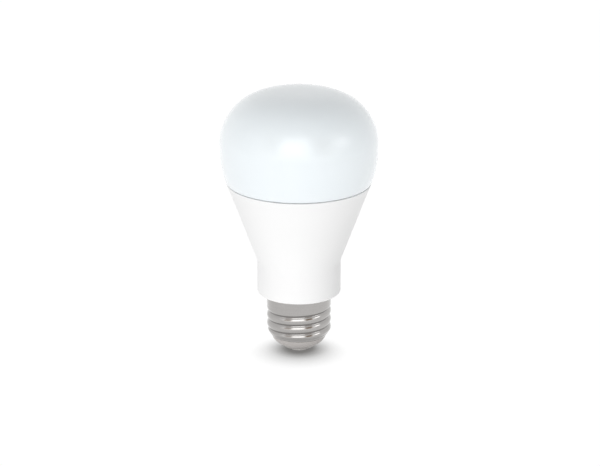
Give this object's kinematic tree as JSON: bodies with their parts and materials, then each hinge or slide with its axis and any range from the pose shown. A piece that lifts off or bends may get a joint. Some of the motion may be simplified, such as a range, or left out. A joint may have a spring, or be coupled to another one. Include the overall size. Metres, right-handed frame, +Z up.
{
  "type": "light bulb",
  "caption": "Smart light bulb: frosted domed diffuser on a flared white housing over a threaded metal screw cap, with light board, driver and radio boards inside.",
  "frame": {"origin": "centre of the flat tip of the centre contact, where the bulb stands cap down", "axes": "+Z up the bulb's axis of revolution, from the screw cap to the dome; the driver board's component side faces +Y"},
  "size_m": [0.064, 0.064, 0.1096],
  "materials": {
    "frosted_dome": "frosted white, satin surface",
    "clear_sealant": "milky silicone",
    "white_housing": "smooth moulded white, satin",
    "nickel_shell": "satin nickel plate with rolled thread",
    "cap_insulator": "warm grey moulding",
    "nickel_contact": "nickel plate, turned",
    "cast_aluminium": "satin",
    "sheet_aluminium": "rolled, bare",
    "insulating_plastic": "translucent natural",
    "thermal_rubber": "soft grey-blue sheet",
    "white_solder_mask": "white mask on aluminium core",
    "led_phosphor": "white frame, yellow phosphor",
    "zinc_screw": "bright zinc",
    "ivory_plastic": "moulded",
    "thermistor_black": "ceramic chip",
    "green_board": "green solder mask on glass fibre",
    "tinned_shield": "tin plate",
    "black_epoxy": "moulded epoxy",
    "bright_can": "bright metal can",
    "copper_trace": "bare copper",
    "black_header": "moulded",
    "gold_pins": "gold plate",
    "resistor_coating": "blue-grey lacquer",
    "varistor_coating": "dipped blue epoxy",
    "ferrite": "dark ferrite",
    "enamelled_wire": "enamelled copper",
    "can_sleeve": "shrink sleeve",
    "film_box": "moulded yellow box",
    "bobbin_black": "moulded",
    "winding_tape": "yellow polyester tape",
    "resistor_chip": "chip",
    "capacitor_chip": "chip",
    "red_insulation": "silicone",
    "black_insulation": "silicone",
    "tinned_wire": "tinned copper"
  },
  "bodies": {
    "root": {"diffuser_dome": "frosted_dome", "dome_sealant": "clear_sealant", "housing": "white_housing", "screw_shell": "nickel_shell", "base_insulator": "cap_insulator", "centre_contact": "nickel_contact", "heat_sink": "cast_aluminium", "heat_spreader": "sheet_aluminium", "insulating_sleeve": "insulating_plastic", "driver_lid": "insulating_plastic", "thermal_pad": "thermal_rubber", "led_board": "white_solder_mask", "led_packages": "led_phosphor", "led_board_screws": "zinc_screw", "led_connector": "ivory_plastic", "led_board_thermistor": "thermistor_black", "radio_board": "green_board", "radio_shield": "tinned_shield", "radio_chip": "black_epoxy", "radio_crystal": "bright_can", "radio_antenna": "copper_trace", "radio_header": "black_header", "radio_header_pins": "gold_pins", "driver_board": "green_board", "fuse_resistor": "resistor_coating", "varistor": "varistor_coating", "noise_choke_core": "ferrite", "noise_choke_winding": "enamelled_wire", "bridge_rectifier": "black_epoxy", "input_capacitor": "can_sleeve", "output_capacitor": "can_sleeve", "film_capacitor": "film_box", "transformer_core": "ferrite", "transformer_bobbin": "bobbin_black", "transformer_pins": "tinned_wire", "transformer_winding": "winding_tape", "driver_chip": "black_epoxy", "output_diode": "black_epoxy", "chip_resistors": "resistor_chip", "chip_capacitors": "capacitor_chip", "led_wire_positive": "red_insulation", "led_wire_negative": "black_insulation", "live_wire": "red_insulation", "neutral_wire": "tinned_wire"}
  },
  "joints": []
}
